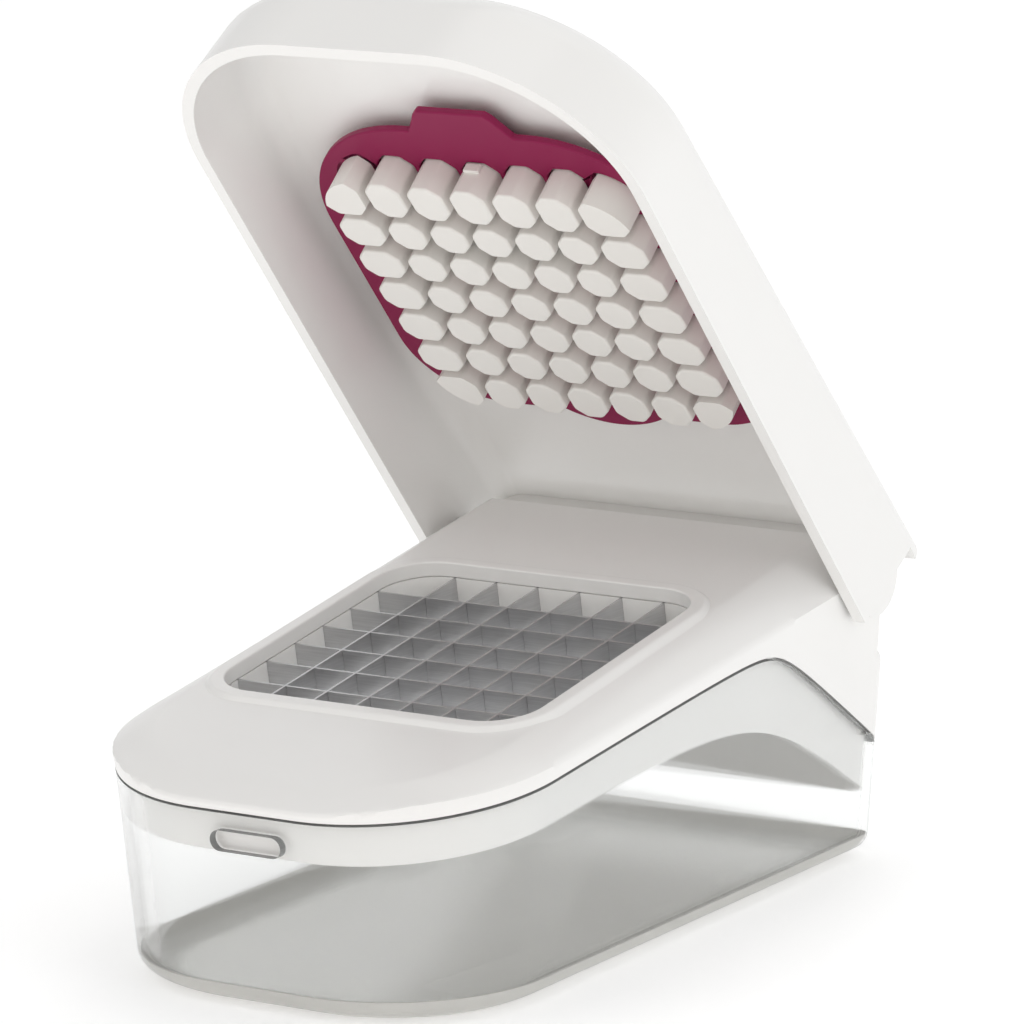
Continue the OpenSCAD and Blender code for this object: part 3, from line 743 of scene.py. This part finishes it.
class CHOPPER_OT_lid(bpy.types.Operator):
    """Models the hollow lid with its rolled edge, thick rim, rear lip and round ends"""

    bl_idname = "chopper.lid"
    bl_label = "Lid"

    def ear(self, lid, side):
        """Round end of a side wall at the hinge."""
        clear_selection()
        bpy.ops.mesh.primitive_cylinder_add(vertices=EAR_STEPS, radius=lid.ear, depth=lid.wall - 2 * PLAY,
                                            location=(side * (lid.half_w - lid.wall / 2), HINGE.y, HINGE.z),
                                            rotation=(0, math.pi / 2, 0))
        obj = rename("lid_ear")
        settle()
        return obj

    def execute(self, context):
        lid, deck = context.scene.chopper_lid, context.scene.chopper_deck
        roof = deck_point(deck, lid.roof)
        hook_z = roof.z + (lid.rear - roof.y) * math.tan(deck.tilt) - lid.hook - (lid.roof - lid.roof_in)
        obj = plate("lid_cover", (-lid.half_w, lid.front), (lid.half_w, lid.rear), LID_FOOT)
        with Bench(obj) as bench:
            bench.round("VERT", lambda v: v.co.y < 0, lid.nose_r, LID_NOSE_STEPS)
        thicken(obj, LID_RISE)
        with Bench(obj) as bench:
            bench.slice(roof, deck_normal(deck))
            bench.outwards()
            bench.round("EDGE", lambda e: bend_of(e) > SHARP and middle(e).z > LID_FOOT + NEAR
                        and middle(e).y < lid.rear - NEAR, lid.roll, LID_ROLL_STEPS)
            bench.slice((0, 0, lid.rim_z), (0, -math.sin(lid.rim_tilt), math.cos(lid.rim_tilt)), fill=False,
                        keep_below=False)
            bench.score((0, lid.wall_rear, 0), (0, 1, 0))
            bench.score((0, 0, hook_z), (0, 0, 1))
            bench.strip(lambda f: f.calc_center_median().z < hook_z
                        and f.calc_center_median().y > lid.wall_rear)
            bench.all()
            bpy.ops.mesh.normals_make_consistent(inside=False)
        hollow(obj, lid.wall)
        for side in (-1, 1):
            carve(obj, self.ear(lid, side), "UNION")
        soften(obj, context.scene.chopper_edges.lid, segments=3)
        place(obj, lid_pose())
        hand_over(obj, "lid", "white_body", white_finish(), "lid_shell")
        return {"FINISHED"}


class CHOPPER_OT_pusher(bpy.types.Operator):
    """Models the kinds of peg once and repeats them over the pusher"""

    bl_idname = "chopper.pusher"
    bl_label = "Pusher"

    def span(self, pegs, deck, index, far_end):
        """Lower and upper limit of a peg along one axis, at the start, inside or end of the field."""
        last = deck.cells - 1
        at = (index - last / 2) * deck.pitch
        low = -pegs.side if index == 0 else at - pegs.width / 2
        high = far_end if index == last else at + pegs.width / 2
        return low, high

    def field(self, pegs):
        """Block with round corners that bounds the field of pegs."""
        side, rear = pegs.side + PLAY, pegs.rear + PLAY
        block = round_plate("peg_field", 2 * side, side + rear, pegs.field_r, -2 * pegs.dip,
                            FINE_CORNER_STEPS)
        thicken(block, pegs.root + 4 * pegs.dip)
        place(block, Matrix.Translation((0, (rear - side) / 2, 0)))
        return block

    def peg(self, pegs, x, y, outer):
        """One peg between the limits x and y; a corner of the field rounds an outer one."""
        obj = plate("pusher_peg", (x[0], y[0]), (x[1], y[1]), -pegs.dip)
        with Bench(obj) as bench:
            bench.round("VERT", lambda v: True, pegs.cut, 1)
            bench.round("VERT", lambda v: abs(v.calc_edge_angle(0)) > SHARP, pegs.soft, 2)
        thicken(obj, pegs.root + pegs.dip)
        if outer:
            carve(obj, self.field(pegs), "INTERSECT")
        with Bench(obj) as bench:
            bench.round("EDGE", lambda e: max(v.co.z for v in e.verts) < NEAR - pegs.dip, pegs.soft,
                        EDGE_STEPS)
        return obj

    def nub(self, pegs, edge):
        """Small nub on the middle front peg."""
        obj = plate("pusher_nub", (-pegs.nub_w / 2, -pegs.side - pegs.nub_t),
                    (pegs.nub_w / 2, -pegs.side + pegs.nub_root), pegs.nub_low)
        thicken(obj, pegs.nub_h)
        modify(obj, "BEVEL", width=edge, segments=3)
        return obj

    def execute(self, context):
        pegs, deck = context.scene.chopper_pegs, context.scene.chopper_deck
        last = deck.cells - 1
        kinds = {}
        copies = [self.nub(pegs, context.scene.chopper_edges.nub)]
        for column in range(deck.cells):
            for row in range(deck.cells):
                kind = (min(column, 1) + (column == last), min(row, 1) + (row == last))
                x, y = self.span(pegs, deck, column, pegs.side), self.span(pegs, deck, row, pegs.rear)
                if kind not in kinds:
                    kinds[kind] = (self.peg(pegs, x, y, 1 not in kind), x[0], y[0])
                    copies.append(kinds[kind][0])
                    continue
                model, x0, y0 = kinds[kind]
                copy = twin(model)
                copy.location = (x[0] - x0, y[0] - y0, 0)
                copies.append(copy)
        take(copies[-1])
        for copy in copies:
            copy.select_set(True)
        settle()
        bpy.ops.object.join()
        field = rename("pusher_pegs")
        smooth(field)
        place(field, lid_pose() @ deck_pose(deck) @ field_shift(deck))
        material = moulded("warm_moulding", context.scene.chopper_colours.warm, rough=0.38, coat=0.0)
        hand_over(field, "lid", "warm_white", material, "pusher_plate")
        return {"FINISHED"}


class CHOPPER_OT_grid(bpy.types.Operator):
    """Rounds the edges of the cleaning grid and of the release tab"""

    bl_idname = "chopper.grid"
    bl_label = "Cleaning grid and release tab"

    def execute(self, context):
        berry = moulded("raspberry_moulding", context.scene.chopper_colours.berry, rough=0.42, coat=0.0,
                        ior=1.32)
        for node, body, slot, material in (("cleaning_grid", "lid", "raspberry", berry),
                                           ("release_tab", "release_tab", "white_body", white_finish())):
            obj = rounded_copy(node, node + "_soft", context.scene.chopper_edges.small)
            hand_over(obj, body, slot, material, node)
        return {"FINISHED"}


class CHOPPER_OT_frame(bpy.types.Operator):
    """Models the frame with its crowned deck, side band and hinge end, and the ledge behind it"""

    bl_idname = "chopper.frame"
    bl_label = "Frame"

    def crown(self, body, deck, x, y):
        """Height of the deck at a place of its plan, and of the crease under its rolled edge."""
        top = deck_top(body, deck, y)
        crease = deck.crease + math.tan(deck.crease_tilt) * min(y, HINGE.y - deck.barrel)
        crease = min(crease, top - deck.crease_drop)
        share = min(1, max(0, edge_depth(body, x, y) / deck.roll))
        return crease + (top - crease) * (1 - (1 - share) ** deck.crown), crease

    def deck(self, body, deck, end_y):
        """Deck and side band, as a shell without its opening."""
        obj = plate("deck_shell", (-body.half_w, -body.half_l), (body.half_w, end_y), 0)
        slices = [-body.half_l + DECK_SLICE * i for i in range(1, DECK_SLICES + 1)]
        turns = [HINGE.y + deck.barrel * math.cos(math.radians(a)) for a in HINGE_ANGLES]
        with Bench(obj) as bench:
            bench.round("VERT", lambda v: v.co.y < 0, body.nose_r, DECK_NOSE_STEPS)
            bench.all()
            for before, ring in zip((0,) + DECK_RINGS, DECK_RINGS):
                bpy.ops.mesh.inset(thickness=(ring - before) * deck.roll)
            for y in slices + turns:
                bench.score((0, y, 0), (0, 1, 0))
            bench.pick("EDGE", lambda e: e.is_boundary)
            bench.lift(-TALL)
        nose = body.nose_r - body.half_l
        for vertex in obj.data.vertices:
            x, y = vertex.co.x, vertex.co.y
            high, crease = self.crown(body, deck, x, y)
            if vertex.co.z > -TALL / 2:
                vertex.co.z, level = high, crease
            else:
                vertex.co.z = level = part_z(body, y) + body.part_gap
            vertex.co.x *= 1 - inset_at(body, level) / body.half_w
            if y < nose and vertex.co.z < crease:
                vertex.co.y = nose + (y - nose) * (1 - inset_at(body, level) / body.nose_r)
        with Bench(obj) as bench:
            bench.round("EDGE", lambda e: middle(e).y < deck.crisp_y and all(
                abs(v.co.z - self.crown(body, deck, 0, v.co.y)[1]) < NEAR for v in e.verts),
                deck.edge_r, EDGE_STEPS)
            bench.outwards()
        return obj

    def ledge(self, body, deck, end_y, edge):
        """Hollow ledge behind the hinge end."""
        obj = drafted("frame_ledge", body, 0, 0, deck.ledge)
        with Bench(obj) as bench:
            bench.round("EDGE", lambda e: middle(e).z > deck.ledge - NEAR and bend_of(e) > SHARP,
                        deck.ledge_roll, LEDGE_ROLL_STEPS)
            bench.slice((0, end_y - PLAY, 0), (0, 1, 0), keep_below=False)
            bench.outwards()
        carve(obj, above_wave("ledge_parting", lambda y: part_z(body, y) + body.part_gap), "INTERSECT")
        with Bench(obj) as bench:
            bench.strip(lambda f: min(f.normal.y, f.normal.z) < -FACING)
            bench.merge()
        hollow(obj, deck.wall)
        soften(obj, edge)
        return obj

    def execute(self, context):
        body, deck = context.scene.chopper_body, context.scene.chopper_deck
        edges = context.scene.chopper_edges
        end_y = HINGE.y + deck.barrel
        shell = self.deck(body, deck, end_y)
        hollow(shell, deck.wall)
        width = deck.opening + deck.lip_w
        hole = round_plate("opening_hole", width, width, deck.opening_r + deck.lip_w / 2, -HOLE_REACH,
                           CORNER_STEPS)
        thicken(hole, 2 * HOLE_REACH)
        place(hole, deck_pose(deck) @ field_shift(deck))
        carve(shell, hole, "DIFFERENCE")
        soften(shell, edges.deck, flat=lambda at: at.y > deck.crisp_y
               or edge_depth(body, at.x, at.y) > deck.roll / 2 or at.z < part_z(body, at.y) + deck.band)
        hand_over(shell, "frame", "white_body", white_finish(), "deck_frame")
        hand_over(self.ledge(body, deck, end_y, edges.ledge), "frame", "white_body", white_finish())
        return {"FINISHED"}


class CHOPPER_OT_skirt(bpy.types.Operator):
    """Models the skirt inside the container and the lip round the opening"""

    bl_idname = "chopper.skirt"
    bl_label = "Skirt and lip"

    def skirt(self, body, deck, edge):
        """Skirt that hangs inside the container, between two wavy edges."""
        obj = drafted("frame_skirt", body, deck.skirt_inset, 0, TALL)
        carve(obj, above_wave("skirt_low", lambda y: skirt_z(body, deck, y)), "INTERSECT")
        carve(obj, above_wave("skirt_high", lambda y: part_z(body, y) + deck.skirt_top), "DIFFERENCE")
        with Bench(obj) as bench:
            bench.strip(lambda f: abs(f.normal.z) > FACING)
            bench.merge()
        hollow(obj, deck.wall)
        soften(obj, edge)
        return obj

    def lip(self, deck, edge):
        """Raised lip round the blade opening, with a ramp outside it."""
        half = deck.opening / 2 + deck.lip_w + deck.lip_flare
        radius = deck.opening_r + deck.lip_w + deck.lip_flare
        low, high = deck.skin - deck.lip_sink, deck.skin + deck.lip_h
        obj = round_plate("opening_lip", 2 * half, 2 * half, radius, deck.lip_foot, FINE_CORNER_STEPS)
        with Bench(obj) as bench:
            bench.all()
            for _ in range(LIP_RINGS):
                bpy.ops.mesh.inset(thickness=deck.lip_flare / LIP_RINGS)
            bpy.ops.mesh.inset(thickness=deck.lip_w)
            bpy.ops.mesh.delete(type="FACE")
        thicken(obj, low - deck.lip_foot)
        for vertex in obj.data.vertices:
            if vertex.co.z > low - NEAR:
                share = min(1, round_depth(half, radius, vertex.co.x, vertex.co.y) / deck.lip_flare)
                vertex.co.z += (high - low) * share ** 2 * (3 - 2 * share)
        soften(obj, edge, segments=4, limit=50)
        place(obj, deck_pose(deck) @ field_shift(deck))
        return obj

    def execute(self, context):
        body, deck = context.scene.chopper_body, context.scene.chopper_deck
        edges = context.scene.chopper_edges
        hand_over(self.skirt(body, deck, edges.skirt), "frame", "white_body", white_finish())
        hand_over(self.lip(deck, edges.lip), "frame", "white_body", white_finish())
        return {"FINISHED"}


class CHOPPER_OT_tub(bpy.types.Operator):
    """Models the clear container with its wavy edge and its window"""

    bl_idname = "chopper.tub"
    bl_label = "Container"

    def cut_window(self, body, tub, obj):
        """Cuts the pill-shaped window into the nose."""
        radius = tub.window_h / 2 * WINDOW_ROUND
        window = round_plate("window", tub.window_l, tub.window_h, radius, -WINDOW_REACH, CORNER_STEPS)
        thicken(window, 2 * WINDOW_REACH)
        upright = Matrix.Rotation(math.pi / 2, 4, "X")
        place(window, Matrix.Translation((0, -body.half_l, tub.window_z)) @ upright)
        carve(obj, window, "DIFFERENCE")

    def darken(self, body, tub, obj):
        """Gives the faces of the wavy edge and of the window's edge the second material, the painted shade
        of the parting gap and of the window's outline.
        """
        half_l, half_h = tub.window_l / 2 + tub.dark_window, tub.window_h / 2 + tub.dark_window
        for face in obj.data.polygons:
            corners = [obj.data.vertices[i].co for i in face.vertices]
            top = all(at.z > part_z(body, at.y) - tub.dark_top for at in corners)
            window = all(at.y < 0 and abs(at.x) < half_l and abs(at.z - tub.window_z) < half_h
                         for at in corners)
            if top or window:
                face.material_index = 1

    def execute(self, context):
        body, tub = context.scene.chopper_body, context.scene.chopper_tub
        obj = drafted("clear_tub", body, 0, tub.bottom, TALL)
        with Bench(obj) as bench:
            bench.round("EDGE", lambda e: middle(e).z < tub.bottom + NEAR and bend_of(e) > SHARP, tub.heel,
                        HEEL_STEPS)
        carve(obj, above_wave("tub_edge", lambda y: part_z(body, y)), "DIFFERENCE")
        with Bench(obj) as bench:
            bench.strip(lambda f: f.normal.z > FACING)
            bench.merge()
        hollow(obj, tub.wall)
        self.cut_window(body, tub, obj)
        soften(obj, context.scene.chopper_edges.tub, segments=3)
        clear = context.scene.chopper_colours.clear
        hand_over(obj, "container", "clear_body", clear_plastic("clear_plastic", clear), "container")
        # The second material paints shade along the wavy edge and round the window.
        obj.data.materials.append(painted_gap_shade("painted_gap_shade", clear))
        self.darken(body, tub, obj)
        return {"FINISHED"}


class CHOPPER_OT_finish(bpy.types.Operator):
    """Gives the remaining CAD nodes their finishes"""

    bl_idname = "chopper.finish"
    bl_label = "Blades and small parts"

    def execute(self, context):
        colours = context.scene.chopper_colours
        nodes = frame["nodes"]
        along = steel_strip("steel_along", colours.steel, squeeze=(9, 0.3, 9))
        across = steel_strip("steel_across", colours.steel, squeeze=(0.3, 9, 9))
        turned = steel_strip("steel_turned", colours.steel, squeeze=(0.5, 6, 6))
        for name, obj in nodes.items():
            if name.startswith("blade_long"):
                paint(obj, along)
            elif name.startswith("blade_cross"):
                paint(obj, across)
            elif "screws" in name or "pin" in name:
                paint(obj, turned)
        sole = rounded_copy("sole", "soft_sole", context.scene.chopper_edges.sole)
        hand_over(sole, "container", "soft_sole", cloudy_sole("cloudy_sole", colours.cloudy), "sole")
        paint(nodes["blade_carrier"], white_finish())
        return {"FINISHED"}


class CHOPPER_OT_stage(bpy.types.Operator):
    """Sets up the floor, the soft light and the camera"""

    bl_idname = "chopper.stage"
    bl_label = "Stage"

    def floor(self, tone):
        """Pale floor that curves up into a backdrop."""
        floor = plate("floor", FLOOR_LOW, FLOOR_HIGH, 0)
        with Bench(floor) as bench:
            bench.pick("EDGE", lambda e: middle(e).y > FLOOR_HIGH[1] - NEAR)
            bench.lift(BACKDROP)
            bench.round("EDGE", lambda e: bend_of(e) > SHARP, COVE, COVE_STEPS)
        take(floor)
        bpy.ops.object.shade_smooth_by_angle(angle=SMOOTH_ANGLE)
        finish = Finish("pale_floor")
        cloud = finish.noise(scale=6)
        finish.surface(Base_Color=finish.mix(cloud, shade(tone, 0.995), tone), Roughness=0.9,
                       Emission_Color=(1, 1, 1, 1), Emission_Strength=FLOOR_GLOW)
        paint(floor, finish.material)

    def light(self, scene):
        """White sky and four soft lamps."""
        world = bpy.data.worlds.new("studio")
        world.use_nodes = True
        world.node_tree.nodes["Background"].inputs["Color"].default_value = (1, 1, 1, 1)
        world.node_tree.nodes["Background"].inputs["Strength"].default_value = SKY_GLOW
        scene.world = world
        scene.view_settings.view_transform = "Standard"
        for name, at, size, power, tint in LIGHTS:
            bpy.ops.object.light_add(type="AREA", location=at)
            lamp = bpy.context.object
            lamp.name = "light_" + name
            lamp.data.size = size
            lamp.data.energy = power
            lamp.data.color = tint
            lamp.rotation_euler = (Vector(LIGHT_AIM) - Vector(at)).to_track_quat("-Z", "Y").to_euler()

    def camera(self, scene):
        """Camera that sees the part as in the photo."""
        bpy.ops.object.camera_add()
        camera = bpy.context.object
        camera.name = "photo_camera"
        right, up = Vector(CAMERA_RIGHT), Vector(CAMERA_UP)
        turn = Matrix((right, up, right.cross(up))).transposed().to_4x4()
        camera.matrix_world = Matrix.Translation(CAMERA_PLACE) @ turn
        camera.data.sensor_width = SENSOR
        camera.data.lens = FOCAL_PIXELS / PHOTO_PIXELS * SENSOR
        camera.data.clip_end = FAR
        scene.camera = camera

    def execute(self, context):
        self.floor(context.scene.chopper_colours.floor)
        self.light(context.scene)
        self.camera(context.scene)
        return {"FINISHED"}


STEPS = (CHOPPER_OT_stage, CHOPPER_OT_lid, CHOPPER_OT_pusher, CHOPPER_OT_grid, CHOPPER_OT_frame,
         CHOPPER_OT_skirt, CHOPPER_OT_tub, CHOPPER_OT_finish)
GROUPS = {"chopper_body": BodySizes, "chopper_deck": DeckSizes, "chopper_tub": TubSizes,
          "chopper_lid": LidSizes, "chopper_pegs": PegSizes, "chopper_edges": EdgeSizes,
          "chopper_colours": Colours}


class CHOPPER_PT_panel(bpy.types.Panel):
    """Lists the chopper's pieces and sizes"""

    bl_idname = "CHOPPER_PT_panel"
    bl_label = "Vegetable chopper"
    bl_space_type = "VIEW_3D"
    bl_region_type = "UI"
    bl_category = "Chopper"

    def draw(self, context):
        for step in STEPS:
            self.layout.operator(step.bl_idname)
        for name, group in GROUPS.items():
            box = self.layout.box()
            for key in group.__annotations__:
                box.prop(getattr(context.scene, name), key)


def register():
    """Registers the classes and hangs the sizes on the scene."""
    for group in GROUPS.values():
        bpy.utils.register_class(group)
    for name, group in GROUPS.items():
        setattr(bpy.types.Scene, name, PointerProperty(type=group))
    for step in STEPS:
        bpy.utils.register_class(step)
    bpy.utils.register_class(CHOPPER_PT_panel)


def unregister():
    """Takes everything off again."""
    bpy.utils.unregister_class(CHOPPER_PT_panel)
    for step in reversed(STEPS):
        bpy.utils.unregister_class(step)
    for name in GROUPS:
        delattr(bpy.types.Scene, name)
    for group in GROUPS.values():
        bpy.utils.unregister_class(group)


def main():
    """Builds every piece."""
    register()
    bpy.ops.chopper.stage()
    bpy.ops.chopper.lid()
    bpy.ops.chopper.pusher()
    bpy.ops.chopper.grid()
    bpy.ops.chopper.frame()
    bpy.ops.chopper.skirt()
    bpy.ops.chopper.tub()
    bpy.ops.chopper.finish()
    clear_selection()


if __name__ == "__main__":
    main()
